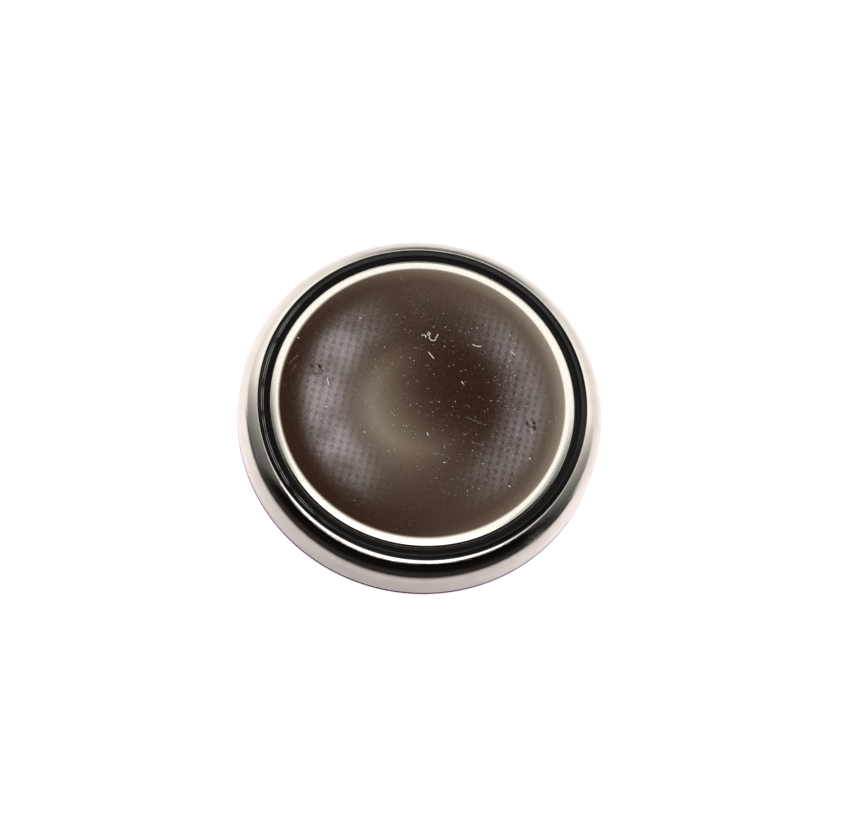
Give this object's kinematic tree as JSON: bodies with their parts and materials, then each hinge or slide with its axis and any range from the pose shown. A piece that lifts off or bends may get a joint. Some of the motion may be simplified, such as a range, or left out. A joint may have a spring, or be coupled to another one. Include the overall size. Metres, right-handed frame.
{
  "type": "lithium coin cell",
  "caption": "Flat round lithium coin cell, negative cap up: crimped steel can, black plastic gasket ring and stepped steel cap, with electrodes and separator sealed inside.",
  "frame": {"origin": "centre of the positive can's flat base, the face that it lies on", "axes": "+Z along the cell's axis, from the positive base to the negative cap's face; X and Y lie in the base, along the wires of the collector meshes"},
  "size_m": [0.02, 0.02, 0.0032],
  "materials": {
    "can_steel": "bright stainless steel with a fine satin from the drawing and crimping tools",
    "cap_steel": "bright rolled stainless steel, nearly a mirror, with fine scratches and dust",
    "gasket_plastic": "smooth black polypropylene, slightly glossy",
    "mesh_steel": "fine stainless wire, rolled flat",
    "lithium_metal": "soft silvery metal, dull",
    "separator_felt": "white nonwoven felt",
    "cathode_mix": "matt black pressed powder"
  },
  "bodies": {
    "root": {"positive_can": "can_steel", "negative_cap": "cap_steel", "gasket": "gasket_plastic", "anode_mesh": "mesh_steel", "lithium_disc": "lithium_metal", "separator": "separator_felt", "cathode_pellet": "cathode_mix", "cathode_mesh": "mesh_steel"}
  },
  "joints": []
}
